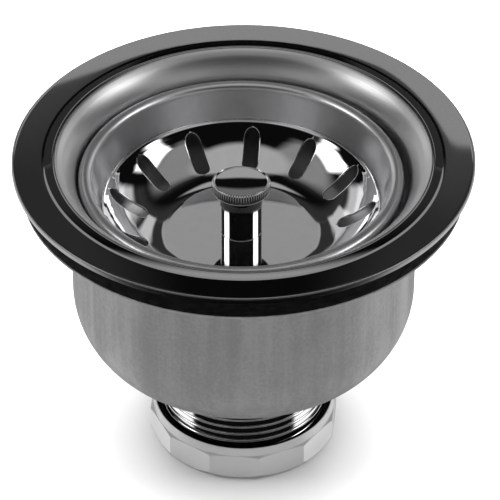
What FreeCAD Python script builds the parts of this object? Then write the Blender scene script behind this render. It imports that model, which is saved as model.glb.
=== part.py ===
import FreeCAD, Part
import math
import os
import Sketcher

# A kitchen sink basket strainer of the double cup kind, in millimetres, +Z up.
# The origin is the centre of the ring on which its tail stands.
# Depths are measured down from the flat face of the sink flange.

driving_sizes = {
    # strainer body: flange, bead, mouth and inner bowl
    "flange_height": 85.2,
    "flange_diameter": 114.3,
    "body_wall": 0.9,
    "rim_depth": 1.5,
    "rim_round": 0.8,
    "bead_rise": 0.6,
    "bead_width": 1.4,
    "mouth_width": 5.3,
    "mouth_depth": 5.8,
    "mouth_curve": 14.0,
    "flange_width": 16.05,
    "flange_fall": 0.12,
    "bowl_depth": 37.0,
    "bowl_land": 8.4,
    # threaded spud and its seal
    "thread_diameter": 42.0,
    "spud_wall": 3.8,
    "tail_bore_step": 0.3,
    "tail_bore_gap": 0.5,
    "spud_chamfer": 0.6,
    "neck_wall": 1.4,
    "neck_fit": 0.1,
    "lip_width": 2.0,
    "lip_thickness": 0.8,
    "seal_thickness": 1.0,
    # rings between flange and cup
    "gasket_gap": 0.4,
    "gasket_inset": 1.85,
    "gasket_clearance": 0.3,
    "gasket_thickness": 5.5,
    "gasket_round": 0.5,
    "ring_inset": 0.5,
    "ring_thickness": 0.4,
    # outer locking cup
    "cup_wall": 0.7,
    "cup_gap": 0.35,
    "cup_lip_inset": 0.3,
    "cup_bend": 1.5,
    "cup_depth": 59.65,
    "cup_hole_gap": 0.5,
    "cup_land": 0.55,
    # lock nut and its washer
    "nut_lift": 0.4,
    "nut_height": 9.4,
    "nut_gap": 0.3,
    "nut_wall": 2.15,
    "nut_corner_rise": 0.83,
    "nut_collar_height": 2.1,
    "nut_collar_inset": 0.1,
    "nut_collar_taper": 0.75,
    "nut_foot_inset": 0.35,
    "nut_foot_chamfer": 1.6,
    "nut_sides": 12,
    "nut_turn": 24.0,
    "recess_width": 1.05,
    "recess_depth": 3.0,
    "washer_fit": 0.08,
    # basket
    "basket_wall": 0.7,
    "basket_gap": 1.1,
    "basket_rim_depth": 5.3,
    "curl_radius": 1.6,
    "curl_lip": 1.2,
    "shoulder_height": 7.7,
    "shoulder_taper": 2.4,
    "step_size": 0.8,
    "floor_depth": 22.8,
    "bowl_run": 15.6,
    "slot_count": 13,
    "slot_width": 3.9,
    "slot_start": 6.0,
    "slot_margin": 0.1,
    "slot_turn": -5.0,
    # post and knob
    "post_diameter": 10.4,
    "post_wall": 0.8,
    "post_height": 12.4,
    "knob_diameter": 14.6,
    "knob_height": 2.9,
    "knob_rim": 0.7,
    "knob_dish": 0.5,
    "knob_round": 0.3,
    "knob_socket": 1.2,
    # stem, stopper and what holds it
    "stem_diameter": 5.0,
    "stem_fit": 0.05,
    "backing_diameter": 18.0,
    "washer_thickness": 1.0,
    "stopper_inset": 1.0,
    "stopper_hub_diameter": 17.0,
    "stopper_edge": 1.6,
    "stopper_slope": 3.2,
    "seat_gap": 0.3,
    "plug_gap": 2.2,
    "plug_length": 3.1,
    "plug_taper": 1.0,
    "stopper_washer_diameter": 19.0,
    "lock_washer_diameter": 9.2,
    "lock_washer_thickness": 1.1,
    "lock_washer_arc": 350.0,
    "stem_nut_across": 8.0,
    "stem_nut_height": 4.0,
    "bush_gap": 0.4,
    "bush_wall": 1.4,
    "bush_taper": 0.6,
    # crossbar in the outlet
    "crossbar_gap": 2.4,
    "crossbar_height": 4.0,
    "hub_gap": 0.35,
    "hub_wall": 2.7,
    "arm_count": 4,
    "arm_width": 2.6,
    "arm_fit": 0.2,
    "stem_reach": 2.0,
}

doc = FreeCAD.newDocument("sink_strainer")
sheet = doc.addObject("Spreadsheet::Sheet", "sizes")
for row, (alias, number) in enumerate(driving_sizes.items(), start=1):
    sheet.set(f"A{row}", alias)
    sheet.set(f"B{row}", str(number))
    sheet.setAlias(f"B{row}", alias)
doc.recompute()


class Size:
    # a number together with the sheet expression that gives it

    def __init__(self, value, text):
        self.value = value
        self.text = text

    def joined(self, sign, other, value):
        return Size(value, f"({self.text} {sign} {other.text})")

    def __add__(self, other):
        return self.joined("+", other, self.value + other.value)

    def __sub__(self, other):
        return self.joined("-", other, self.value - other.value)

    def __mul__(self, other):
        return self.joined("*", other, self.value * other.value)

    def __truediv__(self, other):
        return self.joined("/", other, self.value / other.value)


def size(alias):
    return Size(float(sheet.get(alias)), f"sizes.{alias}")


def half(length):
    return length / Size(2.0, "2")


def level(depth):
    # height above the tail's end of a depth below the flange face
    return size("flange_height") - depth


zero = Size(0.0, "0")


# sketch helpers


def origin_plane(body, role):
    for feature in body.Origin.OriginFeatures:
        if feature.Role == role:
            return feature


def new_sketch(body, name, role):
    sketch = body.newObject("Sketcher::SketchObject", name)
    sketch.AttachmentSupport = (origin_plane(body, role), [""])
    sketch.MapMode = "FlatFace"
    return sketch


def bind(sketch, constraint, length):
    index = sketch.addConstraint(constraint)
    name = f"size_{index}"
    sketch.renameConstraint(index, name)
    sketch.setExpression(f"Constraints.{name}", length.text)


def place_point(sketch, geometry, end, across, up):
    # fix a point by its two distances from the sketch origin, or on an axis
    if across.value == 0:
        sketch.addConstraint(Sketcher.Constraint("PointOnObject", geometry, end, -2))
    else:
        bind(sketch, Sketcher.Constraint("DistanceX", -1, 1, geometry, end, across.value), across)
    if up.value == 0:
        sketch.addConstraint(Sketcher.Constraint("PointOnObject", geometry, end, -1))
    else:
        bind(sketch, Sketcher.Constraint("DistanceY", -1, 1, geometry, end, up.value), up)


def arc_between(first, last, radius, turn):
    # the shorter arc from first to last, turning left or right on the way
    chord = last - first
    middle = (first + last) * 0.5
    rise = math.sqrt(max(radius * radius - chord.Length * chord.Length / 4, 0.0))
    side = FreeCAD.Vector(-chord.y, chord.x, 0)
    side.normalize()
    centre = middle + side * (rise if turn == "left" else -rise)
    start = first if turn == "left" else last
    stop = last if turn == "left" else first
    angles = [math.atan2(point.y - centre.y, point.x - centre.x) for point in (start, stop)]
    circle = Part.Circle(centre, FreeCAD.Vector(0, 0, 1), radius)
    return Part.ArcOfCircle(circle, angles[0], angles[1])


def closed_outline(sketch, corners):
    # a corner is (across, up), with (turn, radius) added where an arc leads to the next one
    points = [FreeCAD.Vector(corner[0].value, corner[1].value, 0) for corner in corners]
    ends = []
    for index, corner in enumerate(corners):
        first = points[index]
        last = points[(index + 1) % len(points)]
        if len(corner) == 2:
            geometry = sketch.addGeometry(Part.LineSegment(first, last))
            ends.append((geometry, 1, 2))
            continue
        turn, radius = corner[2:]
        geometry = sketch.addGeometry(arc_between(first, last, radius.value, turn))
        ends.append((geometry, 1, 2) if turn == "left" else (geometry, 2, 1))
    for index, (geometry, start, stop) in enumerate(ends):
        following, next_start, unused = ends[(index + 1) % len(ends)]
        sketch.addConstraint(Sketcher.Constraint("Coincident", geometry, stop, following, next_start))
    for corner, (geometry, start, stop) in zip(corners, ends):
        place_point(sketch, geometry, start, corner[0], corner[1])
        if len(corner) == 4:
            bind(sketch, Sketcher.Constraint("Radius", geometry, corner[3].value), corner[3])


def turned(label, corners):
    # a body of revolution about Z from its (radius, height) outline
    body = doc.addObject("PartDesign::Body", label)
    sketch = new_sketch(body, f"{label}_profile", "XZ_Plane")
    closed_outline(sketch, corners)
    revolution = body.newObject("PartDesign::Revolution", f"{label}_turned")
    revolution.Profile = sketch
    revolution.ReferenceAxis = (sketch, ["V_Axis"])
    revolution.Angle = 360
    doc.recompute()
    return body


def ring(label, inner, outer, top, bottom):
    corners = [(outer, level(bottom)), (outer, level(top)), (inner, level(top)), (inner, level(bottom))]
    return turned(label, corners)


def box_outline(sketch, near, far, width):
    # a rectangle astride the sketch's upright axis, from near to far along it
    side = width.value / 2
    spots = [(-side, near.value), (side, near.value), (side, far.value), (-side, far.value)]
    points = [FreeCAD.Vector(across, up, 0) for across, up in spots]
    for index in range(4):
        sketch.addGeometry(Part.LineSegment(points[index], points[(index + 1) % 4]))
    for index in range(4):
        sketch.addConstraint(Sketcher.Constraint("Coincident", index, 2, (index + 1) % 4, 1))
    for index in (1, 3):
        sketch.addConstraint(Sketcher.Constraint("Vertical", index))
    sketch.addConstraint(Sketcher.Constraint("Horizontal", 2))
    sketch.addConstraint(Sketcher.Constraint("Symmetric", 0, 1, 0, 2, -2))
    bind(sketch, Sketcher.Constraint("DistanceX", 0, 1, 0, 2, width.value), width)
    bind(sketch, Sketcher.Constraint("DistanceY", -1, 1, 0, 1, near.value), near)
    bind(sketch, Sketcher.Constraint("DistanceY", -1, 1, 2, 1, far.value), far)


def slot_outline(sketch, near, far, width):
    # a round-ended slot along the sketch's upright axis, from near to far
    radius = half(width)
    axis = FreeCAD.Vector(0, 0, 1)
    low = FreeCAD.Vector(0, near.value + radius.value, 0)
    high = FreeCAD.Vector(0, far.value - radius.value, 0)
    offset = FreeCAD.Vector(radius.value, 0, 0)
    low_circle = Part.Circle(low, axis, radius.value)
    high_circle = Part.Circle(high, axis, radius.value)
    low_end = sketch.addGeometry(Part.ArcOfCircle(low_circle, math.pi, 2 * math.pi))
    high_end = sketch.addGeometry(Part.ArcOfCircle(high_circle, 0, math.pi))
    right = sketch.addGeometry(Part.LineSegment(low + offset, high + offset))
    left = sketch.addGeometry(Part.LineSegment(high - offset, low - offset))
    joins = [(low_end, 2, right, 1), (right, 2, high_end, 1), (high_end, 2, left, 1), (left, 2, low_end, 1)]
    for join in joins:
        sketch.addConstraint(Sketcher.Constraint("Tangent", *join))
    sketch.addConstraint(Sketcher.Constraint("Equal", low_end, high_end))
    place_point(sketch, low_end, 3, zero, near + radius)
    place_point(sketch, high_end, 3, zero, far - radius)
    bind(sketch, Sketcher.Constraint("Radius", low_end, radius.value), radius)


def cut_round(body, sketch, name, count):
    # cut the sketch upwards through the body, then repeat the cut round Z
    before = body.Shape.Volume
    pocket = body.newObject("PartDesign::Pocket", f"{name}_cut")
    pocket.Profile = sketch
    pocket.Type = "ThroughAll"
    pocket.Reversed = True
    doc.recompute()
    if body.Shape.Volume >= before:
        raise RuntimeError(f"{name} cut nothing")
    repeat_round(body, sketch, pocket, name, count)


def repeat_round(body, sketch, feature, name, count):
    pattern = body.newObject("PartDesign::PolarPattern", f"{name}_pattern")
    pattern.Originals = [feature]
    pattern.Axis = (sketch, ["N_Axis"])
    pattern.Angle = 360
    pattern.setExpression("Occurrences", count.text)
    body.Tip = pattern
    doc.recompute()


# radii and depths that more than one piece uses

flange_radius = half(size("flange_diameter"))
throat_radius = flange_radius - size("flange_width")
body_radius = throat_radius + size("body_wall")
bead_radius = throat_radius + size("mouth_width")
bead_foot = bead_radius + size("bead_width")
body_underside = size("bowl_depth") + size("body_wall")
thread_radius = half(size("thread_diameter"))
outlet_radius = thread_radius - size("spud_wall")
neck_radius = outlet_radius + size("neck_wall")
neck_hole = neck_radius + size("neck_fit")
lip_radius = neck_radius + size("lip_width")
spud_shoulder = body_underside + size("seal_thickness")
seat_depth = size("bowl_depth") - size("lip_thickness")
gasket_top = size("body_wall") + size("gasket_clearance")
gasket_bottom = gasket_top + size("gasket_thickness")
gasket_inner = bead_radius + size("gasket_gap")
gasket_outer = flange_radius - size("gasket_inset")
cup_top = gasket_bottom + size("ring_thickness")
stem_radius = half(size("stem_diameter"))
stem_hole = stem_radius + size("stem_fit")
rim_radius = throat_radius - size("basket_gap")
curl_centre = rim_radius - size("curl_radius")
shoulder_top = curl_centre - size("curl_radius")
shoulder_foot = shoulder_top - size("shoulder_taper")
bowl_radius = shoulder_foot - size("step_size")
floor_radius = bowl_radius - size("bowl_run")
floor_underside = size("floor_depth") + size("basket_wall")
knob_underside = size("floor_depth") - size("post_height")
knob_top = knob_underside - size("knob_height")
socket_end = knob_underside - size("knob_socket")


# strainer body: flange with turned-down rim, bead, curved mouth and bowl in one drawn sheet;
# the flange falls a little from its rim to the bead


def make_strainer_body():
    wall = size("body_wall")
    rim_round = size("rim_round")
    corner_start = neck_hole + size("bowl_land")
    corner = throat_radius - corner_start
    fall = size("flange_fall")
    rise = size("bead_rise")
    width = size("bead_width")
    bead_climb = rise + fall
    bead_curve = half((width * width + bead_climb * bead_climb) / bead_climb)
    corner_depth = size("bowl_depth") - corner
    curve = size("mouth_curve")
    corners = [
        (flange_radius, level(size("rim_depth"))),
        (flange_radius, level(rim_round), "left", rim_round),
        (flange_radius - rim_round, level(zero)),
        (bead_foot, level(fall), "left", bead_curve),
        (bead_radius, level(zero) + rise, "left", curve),
        (throat_radius, level(size("mouth_depth"))),
        (throat_radius, level(corner_depth), "right", corner),
        (corner_start, level(size("bowl_depth"))),
        (neck_hole, level(size("bowl_depth"))),
        (neck_hole, level(body_underside)),
        (corner_start, level(body_underside), "left", corner + wall),
        (body_radius, level(corner_depth)),
        (body_radius, level(size("mouth_depth") + half(wall)), "right", curve - wall),
        (bead_radius, level(wall)),
        (flange_radius - wall, level(wall)),
        (flange_radius - wall, level(size("rim_depth"))),
    ]
    return turned("strainer_body", corners)


# threaded spud: its neck goes up through the bowl and is rolled over as the stopper's seat,
# and its bore is a little wider below the crossbar, where a tailpiece goes in


def make_threaded_spud():
    chamfer = size("spud_chamfer")
    end = size("flange_height")
    tail_radius = outlet_radius + size("tail_bore_step")
    tail_top = stem_end + size("tail_bore_gap")
    corners = [
        (tail_radius, level(end)),
        (thread_radius - chamfer, level(end)),
        (thread_radius, level(end) + chamfer),
        (thread_radius, level(spud_shoulder)),
        (neck_radius, level(spud_shoulder)),
        (neck_radius, level(size("bowl_depth"))),
        (lip_radius, level(size("bowl_depth"))),
        (lip_radius, level(seat_depth)),
        (outlet_radius + chamfer, level(seat_depth)),
        (outlet_radius, level(seat_depth + chamfer)),
        (outlet_radius, level(tail_top)),
        (tail_radius, level(tail_top)),
    ]
    return turned("threaded_spud", corners)


# outer cup: out-turned lip, straight wall and one large bottom curve


def make_outer_cup():
    wall = size("cup_wall")
    bend = size("cup_bend")
    inner = body_radius + size("cup_gap")
    outer = inner + wall
    lip_radius = gasket_outer - size("cup_lip_inset")
    hole = thread_radius + size("cup_hole_gap")
    land = hole + size("cup_land")
    curve = outer - land
    lip_underside = cup_top + wall
    bend_end = lip_underside + bend
    curve_start = size("cup_depth") - curve
    corners = [
        (lip_radius, level(lip_underside)),
        (lip_radius, level(cup_top)),
        (outer + bend, level(cup_top), "left", bend + wall),
        (inner, level(bend_end)),
        (inner, level(curve_start), "right", curve - wall),
        (land, level(size("cup_depth") - wall)),
        (hole, level(size("cup_depth") - wall)),
        (hole, level(size("cup_depth"))),
        (land, level(size("cup_depth")), "left", curve),
        (outer, level(curve_start)),
        (outer, level(bend_end), "right", bend),
        (outer + bend, level(lip_underside)),
    ]
    return turned("outer_cup", corners)


# rings: rubber gasket, friction ring and the seal of the spud


def make_sink_gasket():
    edge = size("gasket_round")
    corners = [
        (gasket_outer, level(gasket_bottom - edge)),
        (gasket_outer, level(gasket_top + edge), "left", edge),
        (gasket_outer - edge, level(gasket_top)),
        (gasket_inner, level(gasket_top)),
        (gasket_inner, level(gasket_bottom)),
        (gasket_outer - edge, level(gasket_bottom), "left", edge),
    ]
    return turned("sink_gasket", corners)


def make_friction_ring():
    return ring("friction_ring", gasket_inner, gasket_outer - size("ring_inset"), gasket_bottom, cup_top)


def make_spud_seal():
    return ring("spud_seal", neck_hole, thread_radius, body_underside, spud_shoulder)


# lock nut: turned blank with a tapered collar and a recess for its washer, then twelve flats


def make_lock_nut():
    bore = thread_radius + size("nut_gap")
    recess = bore + size("recess_width")
    flat = bore + size("nut_wall")
    corner = flat + size("nut_corner_rise")
    bottom = size("flange_height") - size("nut_lift")
    top = bottom - size("nut_height")
    recess_floor = top + size("recess_depth")
    collar = flat - size("nut_collar_inset")
    collar_foot = top + size("nut_collar_height")
    corners = [
        (bore, level(bottom)),
        (flat - size("nut_foot_inset"), level(bottom)),
        (corner, level(bottom - size("nut_foot_chamfer"))),
        (corner, level(collar_foot)),
        (collar, level(collar_foot)),
        (collar - size("nut_collar_taper"), level(top)),
        (recess, level(top)),
        (recess, level(recess_floor)),
        (bore, level(recess_floor)),
    ]
    body = turned("lock_nut", corners)
    sketch = new_sketch(body, "lock_nut_flat", "XY_Plane")
    sketch.setExpression("AttachmentOffset.Rotation.Angle", size("nut_turn").text)
    box_outline(sketch, flat, corner + size("nut_wall"), corner)
    cut_round(body, sketch, "lock_nut_flats", size("nut_sides"))
    return body


def make_nut_washer():
    bore = thread_radius + size("nut_gap")
    recess = bore + size("recess_width")
    fit = size("washer_fit")
    top = size("flange_height") - size("nut_lift") - size("nut_height")
    return ring("nut_washer", bore, recess - fit, top, top + size("recess_depth") - fit)


# basket: rolled rim, conical shoulder, step and dished bowl, with slots cut through the bowl


def make_basket_shell():
    wall = size("basket_wall")
    curl = size("curl_radius")
    step = size("step_size")
    curl_depth = size("basket_rim_depth") + curl
    shoulder_depth = curl_depth + size("shoulder_height")
    bowl_top = shoulder_depth + step
    run = size("bowl_run")
    drop = size("floor_depth") - bowl_top
    curve = half((run * run + drop * drop) / drop)
    outer_curve = curve + wall
    outer_run = run * outer_curve / curve
    outer_drop = (curve - drop) * outer_curve / curve
    outer_top = size("floor_depth") - curve + outer_drop
    lip_depth = curl_depth + size("curl_lip")
    corners = [
        (rim_radius, level(lip_depth)),
        (rim_radius, level(curl_depth), "left", curl),
        (curl_centre, level(size("basket_rim_depth")), "left", curl),
        (shoulder_top, level(curl_depth)),
        (shoulder_foot, level(shoulder_depth)),
        (bowl_radius, level(bowl_top), "right", curve),
        (floor_radius, level(size("floor_depth"))),
        (stem_hole, level(size("floor_depth"))),
        (stem_hole, level(floor_underside)),
        (floor_radius, level(floor_underside), "left", outer_curve),
        (floor_radius + outer_run, level(outer_top)),
        (shoulder_foot + wall, level(shoulder_depth)),
        (shoulder_top + wall, level(curl_depth), "right", curl - wall),
        (curl_centre, level(size("basket_rim_depth") + wall), "right", curl - wall),
        (rim_radius - wall, level(curl_depth)),
        (rim_radius - wall, level(lip_depth)),
    ]
    body = turned("basket_shell", corners)
    sketch = new_sketch(body, "basket_slot", "XY_Plane")
    sketch.setExpression("AttachmentOffset.Rotation.Angle", size("slot_turn").text)
    slot_near = floor_radius + size("slot_start")
    slot_outline(sketch, slot_near, bowl_radius - size("slot_margin"), size("slot_width"))
    cut_round(body, sketch, "basket_slots", size("slot_count"))
    return body


# post and knob


def make_post_sleeve():
    outer = half(size("post_diameter"))
    return ring("post_sleeve", outer - size("post_wall"), outer, knob_underside, size("floor_depth"))


def make_knob():
    outer = half(size("knob_diameter"))
    edge = size("knob_round")
    dish_radius = outer - size("knob_rim")
    dish = size("knob_dish")
    dish_curve = half((dish_radius * dish_radius + dish * dish) / dish)
    corners = [
        (stem_hole, level(knob_underside)),
        (outer - edge, level(knob_underside)),
        (outer, level(knob_underside - edge)),
        (outer, level(knob_top + edge), "left", edge),
        (outer - edge, level(knob_top)),
        (dish_radius, level(knob_top), "right", dish_curve),
        (zero, level(knob_top + dish)),
        (zero, level(socket_end)),
        (stem_hole, level(socket_end)),
    ]
    return turned("knob", corners)


# stem and what hangs on it below the basket's floor, from the top down

backing_bottom = floor_underside + size("washer_thickness")
disc_underside = seat_depth - size("seat_gap")
plug_bottom = disc_underside + size("plug_length")
stopper_washer_bottom = plug_bottom + size("washer_thickness")
lock_washer_bottom = stopper_washer_bottom + size("lock_washer_thickness")
stem_nut_bottom = lock_washer_bottom + size("stem_nut_height")
crossbar_top = stem_nut_bottom + size("crossbar_gap")
crossbar_bottom = crossbar_top + size("crossbar_height")
stem_end = crossbar_bottom + size("stem_reach")
bush_radius = stem_hole + size("bush_wall")
hub_bore = bush_radius + size("hub_gap")


def make_stem_rod():
    top = socket_end + size("stem_fit")
    corners = [
        (stem_radius, level(stem_end)),
        (stem_radius, level(top)),
        (zero, level(top)),
        (zero, level(stem_end)),
    ]
    return turned("stem_rod", corners)


def make_backing_washer():
    return ring("backing_washer", stem_hole, half(size("backing_diameter")), floor_underside, backing_bottom)


def make_stopper():
    # a rubber disc on the seat, with a hub above it and a tapered plug in the outlet
    disc = lip_radius - size("stopper_inset")
    hub = half(size("stopper_hub_diameter"))
    plug = outlet_radius - size("plug_gap")
    edge_top = disc_underside - size("stopper_edge")
    slope_top = edge_top - size("stopper_slope")
    corners = [
        (stem_hole, level(plug_bottom)),
        (plug - size("plug_taper"), level(plug_bottom)),
        (plug, level(disc_underside)),
        (disc, level(disc_underside)),
        (disc, level(edge_top)),
        (hub, level(slope_top)),
        (hub, level(backing_bottom)),
        (stem_hole, level(backing_bottom)),
    ]
    return turned("stopper", corners)


def make_stopper_washer():
    outer = half(size("stopper_washer_diameter"))
    return ring("stopper_washer", stem_hole, outer, plug_bottom, stopper_washer_bottom)


def make_lock_washer():
    # a split ring: the turn stops short of a full circle
    outer = half(size("lock_washer_diameter"))
    body = ring("lock_washer", stem_hole, outer, stopper_washer_bottom, lock_washer_bottom)
    body.Tip.setExpression("Angle", size("lock_washer_arc").text)
    return body


def make_stem_nut():
    height = size("stem_nut_height")
    blank = doc.addObject("Part::Prism", "stem_nut_blank")
    blank.Polygon = 6
    blank.setExpression("Circumradius", f"{size('stem_nut_across').text} / sqrt(3)")
    blank.setExpression("Height", height.text)
    hole = doc.addObject("Part::Cylinder", "stem_nut_hole")
    hole.setExpression("Radius", stem_hole.text)
    hole.setExpression("Height", height.text)
    for solid in (blank, hole):
        solid.setExpression("Placement.Base.z", level(stem_nut_bottom).text)
    nut = doc.addObject("Part::Cut", "stem_nut")
    nut.Base = blank
    nut.Tool = hole
    return nut


def make_stem_bush():
    taper = size("bush_taper")
    corners = [
        (stem_hole, level(stem_end)),
        (bush_radius - taper, level(stem_end)),
        (bush_radius, level(stem_end - taper)),
        (bush_radius, level(stem_nut_bottom + size("bush_gap"))),
        (stem_hole, level(stem_nut_bottom + size("bush_gap"))),
    ]
    return turned("stem_bush", corners)


# crossbar: a guide hub on arms that reach the wall of the outlet


def make_crossbar():
    hub_radius = hub_bore + size("hub_wall")
    body = ring("crossbar", hub_bore, hub_radius, crossbar_top, crossbar_bottom)
    sketch = new_sketch(body, "crossbar_arm", "XY_Plane")
    sketch.setExpression("AttachmentOffset.Base.z", level(crossbar_bottom).text)
    box_outline(sketch, half(hub_bore + hub_radius), outlet_radius - size("arm_fit"), size("arm_width"))
    arm = body.newObject("PartDesign::Pad", "crossbar_arm_pad")
    arm.Profile = sketch
    arm.setExpression("Length", size("crossbar_height").text)
    doc.recompute()
    repeat_round(body, sketch, arm, "crossbar_arms", size("arm_count"))
    return body


pieces = [
    make_strainer_body(),
    make_threaded_spud(),
    make_spud_seal(),
    make_crossbar(),
    make_sink_gasket(),
    make_friction_ring(),
    make_outer_cup(),
    make_lock_nut(),
    make_nut_washer(),
    make_basket_shell(),
    make_post_sleeve(),
    make_knob(),
    make_stem_rod(),
    make_backing_washer(),
    make_stopper(),
    make_stopper_washer(),
    make_lock_washer(),
    make_stem_nut(),
    make_stem_bush(),
]
doc.recompute()

for item in doc.Objects:
    if "Invalid" in item.State or "Error" in item.State:
        raise RuntimeError(f"{item.Label} failed: {item.State}")
for piece in pieces:
    shape = piece.Shape
    if shape.isNull() or not shape.isValid() or len(shape.Solids) != 1:
        raise RuntimeError(f"{piece.Label} is not one valid solid")

os.makedirs("parts", exist_ok=True)
for piece in pieces:
    piece.Shape.exportStep(f"parts/{piece.Label}.step")
    box = piece.Shape.BoundBox
    print(f"{piece.Label}: {piece.Shape.Volume:.1f} mm3, z {box.ZMin:.2f} to {box.ZMax:.2f}")
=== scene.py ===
import math

import bmesh
import bpy
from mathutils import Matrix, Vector


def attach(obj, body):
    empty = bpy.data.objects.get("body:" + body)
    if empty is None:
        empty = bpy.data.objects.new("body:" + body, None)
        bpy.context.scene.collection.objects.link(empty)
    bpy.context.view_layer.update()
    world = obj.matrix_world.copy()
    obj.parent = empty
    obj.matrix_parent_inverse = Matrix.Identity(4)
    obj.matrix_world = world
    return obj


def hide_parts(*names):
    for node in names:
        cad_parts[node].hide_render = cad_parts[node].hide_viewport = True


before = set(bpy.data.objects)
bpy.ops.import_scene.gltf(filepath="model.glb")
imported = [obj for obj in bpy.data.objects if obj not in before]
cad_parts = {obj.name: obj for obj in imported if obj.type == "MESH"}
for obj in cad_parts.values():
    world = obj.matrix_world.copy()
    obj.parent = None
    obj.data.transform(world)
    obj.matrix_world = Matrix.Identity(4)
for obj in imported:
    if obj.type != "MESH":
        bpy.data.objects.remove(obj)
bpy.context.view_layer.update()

# sink strainer, in metres: tail end at z = 0, +Z up, photographed from the -Y side
mm = 0.001
flangeFace = 85.2  # mm from the tail's end up to the flange face; depths below count down from it
scene = bpy.context.scene
scene.view_settings.view_transform = "Standard"
print("frame loaded:", len(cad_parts), "nodes")


# outlines: (radius, depth) points in mm, turned about Z

def heightAt(depth):
    return (flangeFace - depth) * mm


def spot(radius, angle, height):
    # radius in mm, height in metres
    return (radius * mm * math.cos(angle), radius * mm * math.sin(angle), height)


def arc(centre, radius, start, stop, steps):
    # degrees, 0 outwards and 90 upwards; depth counts down
    points = []
    for step in range(steps + 1):
        angle = math.radians(start + (stop - start) * step / steps)
        points.append((centre[0] + radius * math.cos(angle), centre[1] - radius * math.sin(angle)))
    return points


def soften(corners, closed=True, steps=4):
    # corners (radius, depth, fillet); a corner without a fillet stays as it is
    path = []
    count = len(corners)
    most = 0.49  # share of a side that one fillet may use
    for index, corner in enumerate(corners):
        here = Vector(corner[:2])
        fillet = corner[2] if len(corner) > 2 else 0
        if fillet == 0 or (not closed and index in (0, count - 1)):
            path.append(tuple(here))
            continue
        before = Vector(corners[index - 1][:2]) - here
        after = Vector(corners[(index + 1) % count][:2]) - here
        bend = before.angle(after)
        reach = min(fillet / math.tan(bend / 2), before.length * most, after.length * most)
        fillet = reach * math.tan(bend / 2)
        before.normalize()
        after.normalize()
        centre = here + (before + after).normalized() * (fillet / math.sin(bend / 2))
        first = here + before * reach - centre
        last = here + after * reach - centre
        for step in range(steps + 1):
            path.append(tuple(centre + first.slerp(last, step / steps).normalized() * fillet))
    return path


def turn(path, columns, closed=True, shape=None):
    # spin a (radius, depth) path about Z; shape may change a point's radius by its row and column
    mesh = bmesh.new()
    rings = []
    onAxis = 1e-4
    for row, (radius, depth) in enumerate(path):
        height = heightAt(depth)
        if radius < onAxis:
            rings.append([mesh.verts.new((0, 0, height))])
            continue
        ring = []
        for column in range(columns):
            out = shape(row, column, radius) if shape else radius
            ring.append(mesh.verts.new(spot(out, 2 * math.pi * column / columns, height)))
        rings.append(ring)
    followers = rings[1:] + rings[:1] if closed else rings[1:]
    for lower, upper in zip(rings, followers):
        if len(lower) == 1 and len(upper) == 1:
            continue
        for column in range(columns):
            after = (column + 1) % columns
            corners = [lower[column % len(lower)], lower[after % len(lower)]]
            corners += [upper[after % len(upper)], upper[column % len(upper)]]
            mesh.faces.new(list(dict.fromkeys(corners)))
    bmesh.ops.recalc_face_normals(mesh, faces=mesh.faces)
    return mesh


def addPiece(name, mesh, body, node, finish):
    # a smooth piece that stands for one CAD node and rides on its body
    data = bpy.data.meshes.new(name)
    mesh.to_mesh(data)
    mesh.free()
    data.polygons.foreach_set("use_smooth", [True] * len(data.polygons))
    piece = bpy.data.objects.new(name, data)
    scene.collection.objects.link(piece)
    data.materials.append(finish)
    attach(piece, body)
    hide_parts(node)
    return piece


def evenNormals(piece):
    # large faces keep their own direction beside small rounded edges
    weighted = piece.modifiers.new("evenNormals", "WEIGHTED_NORMAL")
    weighted.weight = 100
    weighted.keep_sharp = True


# shader helpers

def addNode(tree, kind, values=None, **settings):
    made = tree.nodes.new(kind)
    for key, value in settings.items():
        setattr(made, key, value)
    for key, value in (values or {}).items():
        if isinstance(value, bpy.types.NodeSocket):
            tree.links.new(value, made.inputs[key])
        else:
            made.inputs[key].default_value = value
    return made


def calc(tree, operation, first, second=0.0):
    return addNode(tree, "ShaderNodeMath", {0: first, 1: second}, operation=operation).outputs[0]


def product(tree, factors):
    total = factors[0]
    for factor in factors[1:]:
        total = calc(tree, "MULTIPLY", total, factor)
    return total


def fade(tree, value, low, high, start=0.0, stop=1.0):
    values = {"Value": value, "From Min": low, "From Max": high, "To Min": start, "To Max": stop}
    return addNode(tree, "ShaderNodeMapRange", values, interpolation_type="SMOOTHSTEP").outputs["Result"]


def band(tree, value, limits):
    # comes in between the first two limits and goes out between the last two; None leaves a side open
    comes, full, goes, gone = limits
    masks = []
    if comes is not None:
        masks.append(fade(tree, value, comes, full))
    if gone is not None:
        masks.append(fade(tree, value, goes, gone, 1, 0))
    return product(tree, masks)


def varied(tree, noise, start=0.0, stop=1.0, low=0.3, high=0.75):
    # follows a noise; low and high are where the noise counts as none and as full
    return fade(tree, noise, low, high, start, stop)


def newFinish(name, metallic=0.0):
    finish = bpy.data.materials.new(name)
    finish.use_nodes = True
    tree = finish.node_tree
    shader = tree.nodes["Principled BSDF"]
    shader.inputs["Metallic"].default_value = metallic
    place = addNode(tree, "ShaderNodeTexCoord").outputs["Object"]
    return finish, tree, shader, place


def grain(tree, place, stretch, detail=5.0, roughness=0.6):
    # noise in object space; stretch gives its cycles per metre along x, y and z
    scaled = addNode(tree, "ShaderNodeVectorMath", {0: place, 1: stretch}, operation="MULTIPLY").outputs[0]
    values = {"Vector": scaled, "Scale": 1.0, "Detail": detail, "Roughness": roughness}
    return addNode(tree, "ShaderNodeTexNoise", values).outputs["Fac"]


def blend(tree, amount, first, second):
    return addNode(tree, "ShaderNodeMix", {0: amount, 6: first, 7: second}, data_type="RGBA").outputs[2]


def tinted(tree, shader, amount, dark, light):
    tree.links.new(blend(tree, amount, (*dark, 1), (*light, 1)), shader.inputs["Base Color"])


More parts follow.
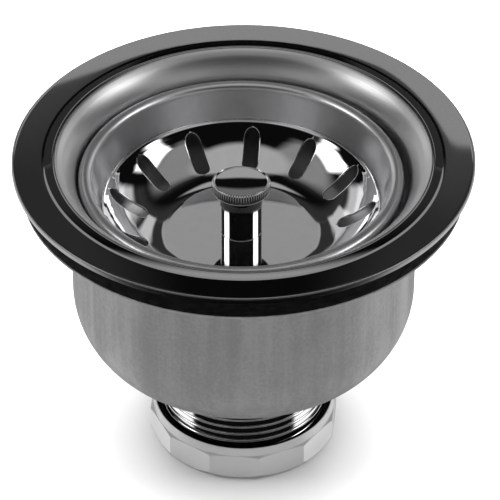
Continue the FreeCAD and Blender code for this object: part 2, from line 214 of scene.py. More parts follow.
def layered(tree, shader, amount, colour):
    # one more colour over the base colour
    plain = shader.inputs["Base Color"].links[0].from_socket
    tree.links.new(blend(tree, amount, plain, (*colour, 1)), shader.inputs["Base Color"])


def raised(tree, shader, height, strength, distance):
    values = {"Height": height, "Strength": strength, "Distance": distance}
    bump = addNode(tree, "ShaderNodeBump", values)
    tree.links.new(bump.outputs["Normal"], shader.inputs["Normal"])


def axisDistance(tree, place, centre=0.0):
    # distance from an upright axis at x = centre, in metres, and the height
    split = addNode(tree, "ShaderNodeSeparateXYZ", {0: place})
    side = calc(tree, "SUBTRACT", split.outputs[0], centre)
    across = calc(tree, "MULTIPLY", side, side)
    along = calc(tree, "MULTIPLY", split.outputs[1], split.outputs[1])
    return calc(tree, "SQRT", calc(tree, "ADD", across, along)), split.outputs[2]


# strainer body: flange, bead, mouth and bowl

bodyLook = {
    "columns": 240,
    "flange": 57.15, "fall": 0.083, "fallRun": 7.95,  # mm: radius, and how far the face falls over its width
    "faceLines": (56.2, 54, 51.5, 50, 49.8, 49.6, 49.4, 49.25),
    "dipFrom": 50, "dip": 0.029,  # the face dips a little beside the bead
    "dark": (0.56, 0.56, 0.57), "light": (0.68, 0.68, 0.69),
    "edge": (0.33, 0.33, 0.335), "satin": (0.72, 0.72, 0.725),
    "flangeRoughness": 0.012, "mouthRoughness": (0.30, 0.41),
    "specks": (2600, 2600, 2600), "rings": (5200, 1, 5200),
    "bump": 0.12, "bumpHeight": 0.00004,
    "rimFrom": 0.0566, "rimTo": 0.0570,  # metres; the edge is satin too
    "satinFrom": 0.0470, "satinTo": 0.0460,  # where the polish ends, on the bead's crest
}


def bodyFinish():
    look = bodyLook
    finish, tree, shader, place = newFinish("flangeSteel", 1.0)
    radius, height = axisDistance(tree, place)
    specks = grain(tree, place, look["specks"], 2.0)
    rim = fade(tree, radius, look["rimFrom"], look["rimTo"])
    mouth = fade(tree, radius, look["satinTo"], look["satinFrom"], 1, 0)
    tinted(tree, shader, specks, look["dark"], look["light"])
    layered(tree, shader, rim, look["edge"])
    layered(tree, shader, mouth, look["satin"])
    satin = calc(tree, "MAXIMUM", mouth, rim)
    profile = addNode(tree, "ShaderNodeCombineXYZ", {0: radius, 2: height}).outputs[0]
    rings = grain(tree, profile, look["rings"], 3.0)
    brushed = varied(tree, rings, *look["mouthRoughness"], high=0.7)
    polish = look["flangeRoughness"]
    extra = calc(tree, "MULTIPLY", calc(tree, "SUBTRACT", brushed, polish), satin)
    tree.links.new(calc(tree, "ADD", extra, polish), shader.inputs["Roughness"])
    raised(tree, shader, calc(tree, "MULTIPLY", rings, satin), look["bump"], look["bumpHeight"])
    return finish


def buildBody():
    look = bodyLook
    face = []
    for radius in look["faceLines"]:
        dip = look["dip"] * max(look["dipFrom"] - radius, 0) ** 2
        face.append((radius, look["fall"] * (look["flange"] - radius) / look["fallRun"] + dip))
    corners = [(look["flange"], 1.5, 0.2), (look["flange"], 0, 0.8)] + face  # turned-down edge and face
    corners += [(49.1, 0.108, 0.1), (46.4, -0.143, 2.4)]  # foot and crest of the bead
    corners += arc((54.5, 11.13), 14, 134, 156, 12)  # mouth
    corners += [(41.55, 6.9, 0.8), (41.1, 8.4, 0.6)]  # throat
    corners += arc((27.1, 23), 14, 0, -90, 12)  # bowl, inside
    corners += [(18.7, 37, 0.2), (18.7, 37.9, 0.2)]  # outlet
    corners += arc((27.1, 23), 14.9, -90, 0, 12)  # bowl, outside
    corners += [(42.0, 6.25, 0.8)] + arc((53.96, 11.6), 13.1, 153, 126, 10)  # under the mouth
    corners += [(56.25, 0.9, 0.1), (56.25, 1.5, 0.2)]  # under the flange
    mesh = turn(soften(corners), look["columns"])
    piece = addPiece("flangeAndBowl", mesh, "strainer", "strainer_body", bodyFinish())
    evenNormals(piece)


# outer cup: lip, straight wall and one large bottom curve, drawn marks running down it

cupLook = {
    "columns": 200,
    "lipCentre": (44.55, 9.3), "bottomCentre": (22.05, 38.65),  # radius and depth in mm
    "dark": (0.16, 0.16, 0.162), "light": (0.225, 0.225, 0.227),
    "metallic": 0.35, "roughness": (0.57, 0.43),
    "streaks": (260, 260, 12),  # cycles per metre: narrow round the wall, long down it
    "blotches": (75, 75, 45), "specks": (1100, 1100, 1100),
    "shares": (0.4, 0.35, 0.25),  # of streaks, blotches and specks
    "low": 0.36, "high": 0.64,
    "bump": 0.12, "bumpHeight": 0.00004,
}


def cupFinish():
    look = cupLook
    finish, tree, shader, place = newFinish("drawnCupSteel", look["metallic"])
    streaks = grain(tree, place, look["streaks"], 4.0, 0.55)
    blotches = grain(tree, place, look["blotches"], 4.0)
    specks = grain(tree, place, look["specks"], 3.0)
    parts = [calc(tree, "MULTIPLY", mark, share)
             for mark, share in zip((streaks, blotches, specks), look["shares"])]
    marks = calc(tree, "ADD", calc(tree, "ADD", parts[0], parts[1]), parts[2])
    limits = {"low": look["low"], "high": look["high"]}
    tinted(tree, shader, varied(tree, marks, **limits), look["dark"], look["light"])
    tree.links.new(varied(tree, marks, *look["roughness"], **limits), shader.inputs["Roughness"])
    raised(tree, shader, calc(tree, "ADD", streaks, specks), look["bump"], look["bumpHeight"])
    return finish


def buildCup():
    look = cupLook
    lip, bottom = look["lipCentre"], look["bottomCentre"]
    corners = [(55.0, 7.8, 0.25), (55.0, 7.1, 0.25)] + arc(lip, 2.2, 90, 180, 6)
    corners += arc(bottom, 20.3, 0, -90, 24) + [(21.5, 58.95, 0.15), (21.5, 59.65, 0.15)]
    corners += arc(bottom, 21, -90, 0, 24) + arc(lip, 1.5, 180, 90, 6)
    mesh = turn(soften(corners), look["columns"])
    piece = addPiece("drawnCup", mesh, "cup", "outer_cup", cupFinish())
    evenNormals(piece)


# black rubber and plastic, and the gasket under the flange

rubberLook = {
    "dark": (0.0012, 0.0012, 0.0012), "light": (0.0045, 0.0045, 0.0043),
    "mottle": (420, 420, 900), "pores": (3200, 3200, 3200), "poreShare": 0.4,
    "roughness": (0.83, 0.58), "specular": 0.06,
    "bump": 0.35, "bumpHeight": 0.00012,
    "gasketColumns": 200,
}


def rubberFinish(name):
    look = rubberLook
    finish, tree, shader, place = newFinish(name)
    mottle = grain(tree, place, look["mottle"])
    pores = grain(tree, place, look["pores"], 2.0)
    tinted(tree, shader, varied(tree, mottle), look["dark"], look["light"])
    tree.links.new(varied(tree, mottle, *look["roughness"], low=0.25), shader.inputs["Roughness"])
    shader.inputs["Specular IOR Level"].default_value = look["specular"]
    height = calc(tree, "ADD", mottle, calc(tree, "MULTIPLY", pores, look["poreShare"]))
    raised(tree, shader, height, look["bump"], look["bumpHeight"])
    return finish


def buildGasket():
    corners = [(55.3, 6.7, 0.6), (55.3, 1.2, 0.6), (46.8, 1.2, 0.4), (46.8, 6.7, 0.4)]
    mesh = turn(soften(corners), rubberLook["gasketColumns"])
    finish = rubberFinish("gasketRubber")
    evenNormals(addPiece("flangeGasket", mesh, "cup", "sink_gasket", finish))


# basket: rolled rim, satin shoulder, step and mirror bowl with slots

basketLook = {
    "floor": 18.0, "arc": 20.15, "arcCentre": 2.65,  # mm; the arc's centre is given by its depth
    "floorLines": [2.55, 4.5, 6, 8, 10, 12, 14, 16, 17.5],
    "wallRun": 15.6, "wallLines": 17,
    "slots": 13, "slotFrom": 24.0, "slotTo": 33.5, "slotHalfWidth": 1.95, "slotTurn": -5.0,
    "capLines": 6,  # lines that draw a slot's round end
    "lineGap": 0.12,  # mm between a slot's lines and the others
    "lipDrop": 0.14,  # mm that a slot's edge is pressed down by the punch
    "wall": 0.7,
    "edgeSteps": (0.0, 0.12, 0.3, 0.8),  # mm from a slot's edge to the first lines beside it
    "sideLines": 5,
    "dark": (0.70, 0.70, 0.71), "light": (0.80, 0.80, 0.81),
    "mirrorRoughness": (0.025, 0.05), "satinExtra": 0.295,
    "satinFrom": 0.0342, "satinTo": 0.0349,  # metres
    "smears": (300, 300, 300), "ripple": (70, 70, 70), "rippleFrom": 0.0185, "rippleTo": 0.022,
    "bump": 0.12, "bumpHeight": 0.0002,
    "lean": 1.1, "leanFrom": 18, "leanTo": 30,  # degrees that the floor is low at the back, and radii in mm
    "settle": -0.6 * mm,  # the loose basket lies against the left of the mouth
}


def basketFinish():
    look = basketLook
    finish, tree, shader, place = newFinish("basketSteel", 1.0)
    radius, height = axisDistance(tree, place, look["settle"])
    ripple = grain(tree, place, look["ripple"], 2.0, 0.5)
    smears = grain(tree, place, look["smears"], 2.0)
    tinted(tree, shader, smears, look["dark"], look["light"])
    satin = fade(tree, radius, look["satinFrom"], look["satinTo"])
    gloss = varied(tree, smears, *look["mirrorRoughness"])
    extra = calc(tree, "MULTIPLY", satin, look["satinExtra"])
    tree.links.new(calc(tree, "ADD", gloss, extra), shader.inputs["Roughness"])
    wavy = calc(tree, "MULTIPLY", ripple, fade(tree, radius, look["rippleFrom"], look["rippleTo"]))
    raised(tree, shader, wavy, look["bump"], look["bumpHeight"])
    return finish


def bowlDepth(radius):
    # depth of the bowl's upper face: flat floor, then one arc
    run = max(radius - basketLook["floor"], 0.0)
    return basketLook["arcCentre"] + math.sqrt(basketLook["arc"] ** 2 - run ** 2)


def basketRows():
    # (radius, depth, slot half width or None) from the stem hole out to the rolled lip
    look = basketLook
    half = look["slotHalfWidth"]
    lines = range(look["wallLines"] + 1)
    plain = look["floorLines"] + [look["floor"] + look["wallRun"] * line / look["wallLines"] for line in lines]
    caps = [look["slotFrom"] - 0.15, look["slotFrom"] - 0.4]
    for step in range(look["capLines"] + 1):
        inset = half * (1 - math.cos(math.radians(90 * step / look["capLines"])))
        caps += [look["slotFrom"] + inset, look["slotTo"] - inset]
    radii = caps + [value for value in plain if min(abs(value - cap) for cap in caps) > look["lineGap"]]
    rows = []
    for radius in sorted(radii):
        inset = min(radius - look["slotFrom"], look["slotTo"] - radius)
        width = None
        if inset > -1e-6:
            width = half if inset >= half else math.sqrt(max(half ** 2 - (half - inset) ** 2, 0))
        rows.append((radius, bowlDepth(radius), width))
    rim = [rows[-1][:2], (33.72, 15.26), (34.5, 14.35, 3.0), (36.8, 6.9)]  # step and shoulder
    rim += arc((38.6, 6.9), 1.8, 180, 0, 16)[1:] + [(40.4, 8.1)]  # rolled lip
    rows += [(radius, depth, None) for radius, depth in soften(rim, closed=False, steps=5)[1:]]
    return rows


def buildBasket():
    look = basketLook
    mesh = bmesh.new()
    sector = math.pi / look["slots"]
    edgeLines, sideLines = len(look["edgeSteps"]), look["sideLines"]
    lines = edgeLines + sideLines
    rows = basketRows()
    grid = {}

    def keyOf(slot, side, row, line):
        if line == lines - 1:  # half way to the next slot, shared with it
            return ("seam", (slot + (1 if side > 0 else 0)) % look["slots"], row)
        shared = line == 0 and not rows[row][2]
        return (slot, 0 if shared else side, row, line)

    for slot in range(look["slots"]):
        middle = math.radians(90 + look["slotTurn"]) + 2 * sector * slot
        for side in (-1, 1):
            for row, (radius, depth, width) in enumerate(rows):
                edge = math.asin((width or 0) / radius)
                steps = [edge + offset / radius for offset in look["edgeSteps"]]
                last = steps[-1]
                steps += [last + (sector - last) * (k + 1) / sideLines for k in range(sideLines)]
                if last > sector:  # close to the stem the lines are simply shared out
                    steps = [sector * k / (lines - 1) for k in range(lines)]
                for line, turnBy in enumerate(steps):
                    key = keyOf(slot, side, row, line)
                    if key in grid:
                        continue
                    drop = look["lipDrop"] if line == 0 and width is not None else 0
                    angle = middle + side * turnBy
                    grid[key] = mesh.verts.new(spot(radius, angle, heightAt(depth + drop)))
    for slot in range(look["slots"]):
        for side in (-1, 1):
            for row in range(len(rows) - 1):
                for line in range(lines - 1):
                    around = [(row, line), (row, line + 1), (row + 1, line + 1), (row + 1, line)]
                    spots = [grid[keyOf(slot, side, *where)] for where in around]
                    mesh.faces.new(spots if side < 0 else spots[::-1])
    bmesh.ops.recalc_face_normals(mesh, faces=mesh.faces)
    floorFace = min(mesh.faces, key=lambda face: face.calc_center_median().xy.length)
    if floorFace.normal.z < 0:
        bmesh.ops.reverse_faces(mesh, faces=mesh.faces)
    lean = math.tan(math.radians(look["lean"]))
    leanRun = look["leanTo"] - look["leanFrom"]
    for vert in mesh.verts:
        flat = min(max((look["leanTo"] * mm - vert.co.xy.length) / (leanRun * mm), 0), 1)
        vert.co.z -= vert.co.y * lean * flat * flat * (3 - 2 * flat)
        vert.co.x += look["settle"]
    piece = addPiece("slottedBasket", mesh, "basket", "basket_shell", basketFinish())
    sheet = piece.modifiers.new("sheet", "SOLIDIFY")
    sheet.thickness = look["wall"] * mm
    sheet.offset = -1
    sheet.use_even_offset = True
    evenNormals(piece)


# post and knob

postLook = {
    "columns": 96, "post": 5.2, "postBore": 4.4, "foot": 22.8,  # radii and depths in mm, here and below
    "rod": 2.55, "rodTop": 9.2, "rim": 7.3, "knobTop": 7.8, "knobFoot": 10.4, "bevel": 0.45,
    "teeth": 68, "toothDepth": 0.3, "tooth": (0.0, 0.5, 1.0, 0.5), "teethFrom": 8.0, "teethTo": 10.1,
    "hollow": 6.84, "hollowLines": 16, "hollowWall": 0.03,
    "dish": 0.38, "tilt": -4.5, "tiltAbove": 9.0,  # mm and degrees of the hollow top, which leans back
    "backRise": 0.6, "sideBend": 0.5, "sideFade": 0.3,  # the hollow curves mostly from front to back
    "plating": {"dark": (0.78, 0.78, 0.79), "light": (0.86, 0.86, 0.87), "roughness": 0.03, "spread": 0.03},
    "neck": (15.8, 13.8, (0.12, 0.12, 0.12)),  # painted shade on the post close under the knob
    "smears": (900, 900, 900), "topRoughness": (0.02, 0.05), "dullExtra": 0.2,
    # painted shade: the near-black colour of the knob's grooves, underside and hollow wall
    "knobShade": (0.03, 0.03, 0.03), "knurlFrom": 6.95, "knurlTo": 7.0,
    "grooveFrom": 7.02, "grooveTo": 7.27, "crestShare": 0.35,  # the crests get less painted shade and roughness than the grooves
    "shadedDullFrom": 8.24, "shadedDullTo": 8.32, "underFrom": 10.3, "underTo": 10.38,  # depths of the faces with painted shade and more roughness
    "wallLimits": (-0.01, 0, 0.02, 0.03),  # mm from the hollow's edge, for a painted dark line on its wall
}


def plateFinish(name, dark, light, roughness, spread, marks=(900, 900, 900), bump=0.0, metallic=1.0,
                shade=None):
    # bright plating with faint smears; a cast piece is duller and less metallic
    finish, tree, shader, place = newFinish(name, metallic)
    smears = grain(tree, place, marks)
    tinted(tree, shader, smears, dark, light)
    if shade:  # painted shade, darker towards the top: two depths in mm and the colour there
        low, high, colour = shade
        height = addNode(tree, "ShaderNodeSeparateXYZ", {0: place}).outputs[2]
        layered(tree, shader, fade(tree, height, heightAt(low), heightAt(high)), colour)
    tree.links.new(varied(tree, smears, roughness, roughness + spread), shader.inputs["Roughness"])
    if bump:
        raised(tree, shader, smears, bump, 0.08 * mm)
    return finish


def buildPost():
    look = postLook
    post, bore, foot, top = look["post"], look["postBore"], look["foot"], look["knobFoot"]
    corners = [(post, foot, 0.25), (post, top, 0.1), (bore, top, 0.1), (bore, foot, 0.1)]
    sleeve = turn(soften(corners), look["columns"])
    bmesh.ops.translate(sleeve, verts=sleeve.verts, vec=(basketLook["settle"], 0, 0))
    # the post gets painted shade close under the knob
    finish = plateFinish("postPlating", **look["plating"], shade=look["neck"])
    evenNormals(addPiece("postSleeve", sleeve, "basket", "post_sleeve", finish))
    buildKnob()


def buildKnob():
    look = postLook
    rod, rim, top, foot = look["rod"], look["rim"], look["knobTop"], look["knobFoot"]
    hollow, count = look["hollow"], look["hollowLines"]
    corners = [(rod, foot, 0.1), (rim - 0.2, foot, 0.3), (rim, foot - 0.4, 0.2)]
    corners += [(rim, top + look["bevel"], 0.06), (hollow + 0.07, top, 0.03), (hollow + look["hollowWall"], top)]
    corners += [(hollow * (1 - line / count), top) for line in range(count + 1)] 
    corners += [(0, look["rodTop"]), (rod, look["rodTop"], 0.1)]
    path = soften(corners)
    knurled = [row for row, (radius, depth) in enumerate(path)
               if radius > rim - 0.02 and look["teethFrom"] < depth < look["teethTo"]]
    tooth = look["tooth"]

    def knurl(row, column, radius):
        return radius - (look["toothDepth"] * tooth[column % len(tooth)] if row in knurled else 0)

    knob = turn(path, look["teeth"] * len(tooth), shape=knurl)
    for vert in knob.verts:
        if vert.co.z > heightAt(look["tiltAbove"]):
            across, along = vert.co.x / mm / hollow, vert.co.y / mm / hollow
            if across ** 2 + along ** 2 < 1.001:
                rise = look["backRise"] if along > 0 else 1.0
                rise *= along ** 2 / (1 - look["sideBend"] * across ** 2)
                vert.co.z -= look["dish"] * mm * (1 - look["sideFade"] * across ** 4) * (1 - rise)
            vert.co.z += vert.co.y * math.tan(math.radians(look["tilt"]))
        vert.co.x += basketLook["settle"]
    evenNormals(addPiece("knurledKnob", knob, "basket", "knob", knobFinish()))


def knobFinish():
    # bright top; painted shade and more roughness in the grooves round the edge, on the underside and as a thin
    # dark line on the wall round the hollow
    look = postLook
    finish, tree, shader, place = newFinish("knobPlating", 1.0)
    radius, height = axisDistance(tree, place, basketLook["settle"])
    smears = grain(tree, place, look["smears"], 4.0)
    side = fade(tree, radius, look["knurlFrom"] * mm, look["knurlTo"] * mm)
    grooves = fade(tree, radius, look["grooveFrom"] * mm, look["grooveTo"] * mm, 1, look["crestShare"])
    along = addNode(tree, "ShaderNodeSeparateXYZ", {0: place}).outputs[1]
    slope = calc(tree, "MULTIPLY", along, math.tan(math.radians(look["tilt"])))
    untilted = calc(tree, "SUBTRACT", height, slope)
    low = fade(tree, untilted, heightAt(look["shadedDullTo"]), heightAt(look["shadedDullFrom"]), 1, 0)
    under = fade(tree, height, heightAt(look["underTo"]), heightAt(look["underFrom"]), 1, 0)
    wall = band(tree, radius, [(look["hollow"] + offset) * mm for offset in look["wallLimits"]])
    shadedAndDull = calc(tree, "MAXIMUM", product(tree, [side, grooves, low]), calc(tree, "MAXIMUM", under, wall))
    # painted shade, near black, in the grooves, under the knob and on the hollow's wall
    tinted(tree, shader, shadedAndDull, look["plating"]["light"], look["knobShade"])
    gloss = varied(tree, smears, *look["topRoughness"])
    extra = calc(tree, "MULTIPLY", shadedAndDull, look["dullExtra"])
    tree.links.new(calc(tree, "ADD", gloss, extra), shader.inputs["Roughness"])
    return finish


# tail: right-hand thread outside, stepped bore and rolled seat inside

tailLook = {
    "pitch": 2.209, "crest": 21.0, "threadDepth": 0.36,  # broad crests with a narrow round groove
    "columns": 144, "perTurn": 18, "grooveShare": 0.4,
    "top": 46.3, "end": 0.0, "endRadius": 20.0,  # mm: heights of the shoulder and the chamfered end
    "plating": {"dark": (0.70, 0.70, 0.71), "light": (0.82, 0.82, 0.83), "roughness": 0.07, "spread": 0.05},
}


def openEnds(mesh, known=()):
    # open edges that aren't known yet, by their height in whole mm
    loops = {}
    for edge in mesh.edges:
        if edge not in known and edge.is_boundary:
            level = (edge.verts[0].co.z + edge.verts[1].co.z) / 2 / mm
            loops.setdefault(round(level), []).append(edge)
    return loops


def buildTail():
    look = tailLook
    columns, perTurn = look["columns"], look["perTurn"]
    turns = int((look["top"] - look["end"]) / look["pitch"]) + 5
    mesh = bmesh.new()
    strip = []
    for row in range(turns * perTurn + 1):
        within = min((row % perTurn) / perTurn / look["grooveShare"], 1.0)
        share = (1 - math.cos(2 * math.pi * within)) / 2
        line = []
        for column in range(columns):
            height = (row / perTurn + column / columns - 2) * look["pitch"]
            radius = min(look["crest"] - look["threadDepth"] * share, look["endRadius"] + max(height, 0.0))
            line.append(mesh.verts.new(spot(radius, 2 * math.pi * column / columns, height * mm)))
        strip.append(line)
    for row in range(len(strip) - 1):
        for column in range(columns):
            if column < columns - 1:
                beside = [strip[row][column + 1], strip[row + 1][column + 1]]
            elif row + 1 + perTurn < len(strip):  # the last column meets the first, one turn higher
                beside = [strip[row + perTurn][0], strip[row + 1 + perTurn][0]]
            else:
                continue
            mesh.faces.new([strip[row][column]] + beside + [strip[row + 1][column]])
    for level, out in ((look["end"], -1), (look["top"], 1)):
        everything = mesh.verts[:] + mesh.edges[:] + mesh.faces[:]
        bmesh.ops.bisect_plane(mesh, geom=everything, dist=1e-7, plane_co=(0, 0, level * mm),
                               plane_no=(0, 0, out), clear_outer=True)
    outside = openEnds(mesh)
    corners = [(17.5, 85.2), (17.5, 54.0, 0.1), (17.2, 54.0, 0.1), (17.2, 36.8, 0.3)]  # bore
    corners += [(17.8, 36.2, 0.4), (20.6, 36.2, 0.35), (20.6, 37.0, 0.2), (18.6, 37.0, 0.1)]  # rolled seat
    corners += [(18.6, 38.9, 0.1), (19.3, 38.9)]  # neck and shoulder
    bore = turn(soften(corners, closed=False), columns, closed=False)
    data = bpy.data.meshes.new("bore")
    bore.to_mesh(data)
    bore.free()
    known = set(mesh.edges)
    mesh.from_mesh(data)
    bpy.data.meshes.remove(data)
    for level, edges in openEnds(mesh, known).items():
        bmesh.ops.bridge_loops(mesh, edges=edges + outside[level])
    bmesh.ops.recalc_face_normals(mesh, faces=mesh.faces)
    finish = plateFinish("tailPlating", **look["plating"])
    piece = addPiece("threadedTail", mesh, "strainer", "threaded_spud", finish)
    evenNormals(piece)


# lock nut: twelve flats under a tapered collar, chamfered foot, recess for its washer

nutLook = {
    "bore": 21.3, "recess": 22.6, "collarTop": 22.8, "collarFoot": 23.35, "flat": 23.45, "corner": 24.28,
    "top": 75.4, "ledge": 77.5, "ledgeRise": 0.05, "bottom": 84.8,
    "foot": 23.1, "footChamfer": 1.6, "recessDepth": 3.0,
    "sides": 12, "perSide": 20, "turn": 24.0,
    "cornerDip": 0.3,  # mm that the flats' upper edges dip towards the corners
    "edgeWidth": 0.16, "edgeAngle": 20,
    "washer": 22.55, "washerTop": 76.0, "washerFoot": 78.32, "washerColumns": 160,
    "plating": {"dark": (0.51, 0.51, 0.515), "light": (0.57, 0.57, 0.575), "roughness": 0.34, "spread": 0.05,
                "marks": (120, 120, 120), "bump": 0.02, "metallic": 0.25},
}


def buildNut():
    look = nutLook
    mesh = bmesh.new()
    columns = look["sides"] * look["perSide"]
    side = 360 / look["sides"]
    floor = look["top"] + look["recessDepth"]
    rings = []
    for column in range(columns):
        angle = math.radians(90 + look["turn"] + side * (column / look["perSide"] - 0.5))
        offset = side * ((column % look["perSide"]) / look["perSide"] - 0.5)
        wall = min(look["flat"] / math.cos(math.radians(offset)), look["corner"])
        share = (wall - look["foot"]) / (look["corner"] - look["foot"])
        dip = look["cornerDip"] * (wall - look["flat"]) / (look["corner"] - look["flat"])
        outline = [(look["bore"], look["bottom"]), (look["foot"], look["bottom"]),
                   (wall, look["bottom"] - share * look["footChamfer"]), (wall, look["ledge"] + dip),
                   (look["collarFoot"], look["ledge"] - look["ledgeRise"]), (look["collarTop"], look["top"]),
                   (look["recess"], look["top"]), (look["recess"], floor), (look["bore"], floor)]
        rings.append([mesh.verts.new(spot(radius, angle, heightAt(depth))) for radius, depth in outline])
    for column in range(columns):
        near, far = rings[column], rings[(column + 1) % columns]
        for here in range(len(near)):
            after = (here + 1) % len(near)
            mesh.faces.new((near[here], far[here], far[after], near[after]))
    bmesh.ops.recalc_face_normals(mesh, faces=mesh.faces)
    finish = plateFinish("nutPlating", **look["plating"])
    piece = addPiece("twelveSidedNut", mesh, "lock_nut", "lock_nut", finish)
    edges = piece.modifiers.new("edges", "BEVEL")
    edges.width = look["edgeWidth"] * mm
    edges.segments = 2
    edges.limit_method = "ANGLE"
    edges.angle_limit = math.radians(look["edgeAngle"])
    evenNormals(piece)
    outer, inner, top, foot = look["washer"], look["bore"], look["washerTop"], look["washerFoot"]
    corners = [(outer, top, 0.2), (inner, top, 0.2), (inner, foot, 0.1), (outer, foot, 0.1)]
    washer = turn(soften(corners), look["washerColumns"])
    finish = rubberFinish("washerPlastic")
    evenNormals(addPiece("nutWasher", washer, "nut_washer", "nut_washer", finish))


# stem, stopper and the small pieces on the stem

stemLook = {
    "stopperColumns": 160,
    "steel": {"dark": (0.45, 0.45, 0.46), "light": (0.62, 0.62, 0.63), "roughness": 0.25, "spread": 0.15,
              "marks": (300, 300, 2400), "bump": 0.1},
    "brass": {"dark": (0.50, 0.36, 0.16), "light": (0.66, 0.50, 0.24), "roughness": 0.25, "spread": 0.12,
              "marks": (700, 700, 700), "bump": 0.1},
    "bar": {"dark": (0.70, 0.70, 0.71), "light": (0.82, 0.82, 0.83), "roughness": 0.16, "spread": 0.1,
            "marks": (600, 600, 600), "bump": 0.15},
    "bushDark": (0.62, 0.60, 0.55), "bushLight": (0.80, 0.79, 0.75),
    "bushMottle": (500, 500, 500), "bushRoughness": (0.38, 0.55), "bushBump": 0.1, "bushBumpHeight": 0.0001,
}


def paint(node, finish):
    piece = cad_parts[node]
    if not piece.material_slots:
        piece.data.materials.append(finish)
    for slot in piece.material_slots:
        slot.material = finish


def bushFinish():
    look = stemLook
    finish, tree, shader, place = newFinish("bushPlastic")
    mottle = grain(tree, place, look["bushMottle"], 4.0)
    tinted(tree, shader, mottle, look["bushDark"], look["bushLight"])
    tree.links.new(varied(tree, mottle, *look["bushRoughness"], high=0.7), shader.inputs["Roughness"])
    raised(tree, shader, mottle, look["bushBump"], look["bushBumpHeight"])
    return finish


def buildStem():
    look = stemLook
    steel = plateFinish("stemSteel", **look["steel"])
    corners = [(2.55, 39.0, 0.1), (14.0, 39.0, 0.6), (15.0, 35.9, 0.3), (19.6, 35.9, 0.4), (19.6, 34.3, 0.5),
               (8.5, 31.1, 1.6), (8.5, 24.5, 0.3), (2.55, 24.5, 0.1)]
    stopper = turn(soften(corners, steps=6), look["stopperColumns"])
    rubber = rubberFinish("stopperRubber")
    evenNormals(addPiece("rubberStopper", stopper, "basket", "stopper", rubber))
    for node in ("stem_rod", "backing_washer", "stopper_washer", "lock_washer"):
        paint(node, steel)
    paint("stem_nut", plateFinish("stemBrass", **look["brass"]))
    paint("stem_bush", bushFinish())
    paint("friction_ring", rubberFinish("ringFibre"))
    paint("spud_seal", rubberFinish("sealRubber"))
    paint("crossbar", plateFinish("barPlating", **look["bar"]))


# studio: pale floor, soft light from both sides, grey cards behind, dark towards the camera

behind = (None, None, -0.62, -0.48)

studioLook = {
    "floor": (0.9, 0.9, 0.9), "floorShade": 0.01, "floorMottle": (40, 40, 40), "floorRoughness": 0.8,
    "floorSize": 6.0, "floorDrop": 0.0002,
    "topSize": 1.6, "topLight": 66.0, "topPlace": (0, 0.1, 1.3),
    "frontSize": 0.5, "frontLight": 2.5, "frontPlace": (0, -0.75, 0.1),
    "lampAim": (0, 0, 0.03),
    "cardTop": 35.95,  # degrees up to the card's upper edge, which rises a little to the right
    "cardRise": 0.0085, "riseFrom": 0.0297, "riseTo": 0.0506,
    "edgeBlur": 0.0004, "besideFrom": 0.075, "besideTo": 0.095,
    "base": 0.004,
}

# lit parts of the studio: strength, then each measure's limits as band takes them
# frontness is 1 towards the camera and -1 behind, sideways is 1 to the right, aside counts both sides,
# up is the sine and steep the tangent of the height, aboveEdge is steep from the card's edge
blur = studioLook["edgeBlur"]
studioLights = {
    "sides": (3.4, {"frontness": (-0.36, -0.20, 0.22, 0.36), "up": (0.45, 0.52, 0.69, 0.75)}),
    "tableSides": (1.3, {"frontness": (-0.97, -0.85, 0.18, 0.30), "up": (-0.95, -0.80, -0.05, 0.05)}),
    "card": (0.36, {"frontness": behind, "aboveEdge": (None, None, -blur, blur),
                    "steep": (0.56, 0.59, None, None), "aside": (None, None, 0.10, 0.125)}),
    "glow": (0.035, {"frontness": behind, "aboveEdge": (-blur, blur, 0.0, 0.014)}),
    "sideGlow": (0.03, {"frontness": behind, "aside": (0.012, 0.04, None, None), "besideCard": None,
                        "up": (0.30, 0.40, 0.62, 0.70)}),
    "upperCard": (0.42, {"frontness": behind, "aside": (None, None, 0.16, 0.24),
                         "up": (0.70, 0.74, 0.81, 0.85)}),
    "lowCard": (0.15, {"frontness": behind, "aside": (None, None, 0.20, 0.26),
                       "up": (0.08, 0.12, 0.34, 0.40)}),
    "rightStrip": (0.6, {"frontness": behind, "sideways": (0.23, 0.28, 0.38, 0.44),
                         "up": (0.36, 0.42, 0.585, 0.61)}),
    "leftStrip": (0.6, {"frontness": behind, "sideways": (-0.62, -0.55, -0.32, -0.26),
                        "up": (0.36, 0.42, 0.585, 0.61)}),
    "low": (0.4, {"frontness": behind, "aside": (0.14, 0.24, None, None), "up": (-0.20, -0.10, 0.36, 0.42)}),
    "backSides": (0.6, {"frontness": (-0.90, -0.80, -0.58, -0.48), "up": (0.20, 0.28, 0.48, 0.55)}),
    "haze": (0.28, {"frontness": (-0.93, -0.6, 0.45, 0.7), "up": (0.66, 0.78, 0.90, 0.95)}),
    "overhead": (0.46, {"up": (0.90, 0.95, None, None)}),
    "front": (0.27, {"frontness": (0.2, 0.5, None, None), "up": (0.17, 0.27, 0.50, 0.58)}),
    "corners": (0.2, {"frontness": (0.3, 0.5, None, None), "aside": (0.30, 0.45, None, None),
                      "up": (0.10, 0.25, 0.46, 0.56)}),
}


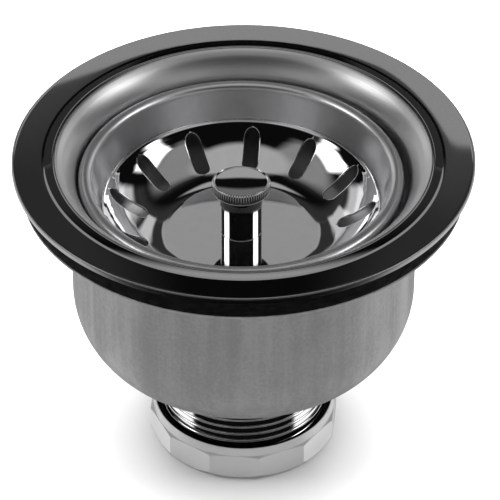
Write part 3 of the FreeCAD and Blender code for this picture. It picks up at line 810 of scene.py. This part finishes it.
def buildWorld():
    look = studioLook
    world = bpy.data.worlds.new("studio")
    world.use_nodes = True
    scene.world = world
    tree = world.node_tree
    aim = addNode(tree, "ShaderNodeTexCoord").outputs["Generated"]
    right, back, up = addNode(tree, "ShaderNodeSeparateXYZ", {0: aim}).outputs
    squares = [calc(tree, "MULTIPLY", part, part) for part in (right, back)]
    level = calc(tree, "MAXIMUM", calc(tree, "SQRT", calc(tree, "ADD", *squares)), 0.001)
    sideways = calc(tree, "DIVIDE", right, level)
    aside = calc(tree, "ABSOLUTE", sideways)
    steep = calc(tree, "DIVIDE", up, level)
    rise = fade(tree, sideways, look["riseFrom"], look["riseTo"], 0.0, look["cardRise"])
    edge = calc(tree, "ADD", rise, math.tan(math.radians(look["cardTop"])))
    aboveEdge = calc(tree, "SUBTRACT", steep, edge)
    above = fade(tree, aboveEdge, -blur, blur)
    measures = {
        "frontness": calc(tree, "DIVIDE", calc(tree, "MULTIPLY", back, -1.0), level),
        "sideways": sideways, "aside": aside, "up": up, "steep": steep, "aboveEdge": aboveEdge,
        "besideCard": calc(tree, "MAXIMUM", above, fade(tree, aside, look["besideFrom"], look["besideTo"])),
    }
    total = look["base"]
    for strength, limits in studioLights.values():
        masks = [band(tree, measures[name], ends) if ends else measures[name] for name, ends in limits.items()]
        total = calc(tree, "ADD", total, calc(tree, "MULTIPLY", product(tree, masks), strength))
    tree.links.new(total, tree.nodes["Background"].inputs["Color"])


def addSoftbox(name, size, energy, place):
    # lights dull surfaces only; what the metal mirrors is the world above
    lamp = bpy.data.lights.new(name, "AREA")
    lamp.energy = energy
    lamp.size = size
    softbox = bpy.data.objects.new(name, lamp)
    softbox.location = place
    aim = Vector(studioLook["lampAim"]) - Vector(place)
    softbox.rotation_euler = aim.to_track_quat("-Z", "Y").to_euler()
    softbox.visible_glossy = False
    scene.collection.objects.link(softbox)


def buildStudio():
    look = studioLook
    buildWorld()
    half = look["floorSize"] / 2
    data = bpy.data.meshes.new("floor")
    corners = [(-half, -half, 0), (half, -half, 0), (half, half, 0), (-half, half, 0)]
    data.from_pydata(corners, [], [(0, 1, 2, 3)])
    floor = bpy.data.objects.new("floor", data)
    floor.location.z = -look["floorDrop"]
    scene.collection.objects.link(floor)
    finish, tree, shader, place = newFinish("paleFloor")
    darker = [value - look["floorShade"] for value in look["floor"]]
    tinted(tree, shader, grain(tree, place, look["floorMottle"]), darker, look["floor"])
    shader.inputs["Roughness"].default_value = look["floorRoughness"]
    data.materials.append(finish)
    floor.visible_glossy = False  # the metal mirrors the studio, not the floor
    addSoftbox("topSoftbox", look["topSize"], look["topLight"], look["topPlace"])
    addSoftbox("frontSoftbox", look["frontSize"], look["frontLight"], look["frontPlace"])


# camera: one metre from the flange, 36.3 degrees above it

cameraLook = {"distance": 1.0, "elevation": 36.3, "aim": (0.0016, 0, 0.0558), "lens": 292.3, "sensor": 36.0}


def buildCamera():
    look = cameraLook
    tilt = math.radians(look["elevation"])
    data = bpy.data.cameras.new("photoCamera")
    data.sensor_width = look["sensor"]
    data.lens = look["lens"]
    camera = bpy.data.objects.new("photoCamera", data)
    camera.location = (0, -look["distance"] * math.cos(tilt), heightAt(0) + look["distance"] * math.sin(tilt))
    aim = Vector(look["aim"]) - camera.location
    camera.rotation_euler = aim.to_track_quat("-Z", "Y").to_euler()
    scene.collection.objects.link(camera)
    scene.camera = camera


buildCamera()
buildStudio()
print("studio and camera set")
buildBody()
buildCup()
buildGasket()
print("flange, cup and gasket made")
buildBasket()
buildPost()
buildStem()
print("basket, post and stem made")
buildTail()
buildNut()
print("tail and nut made")
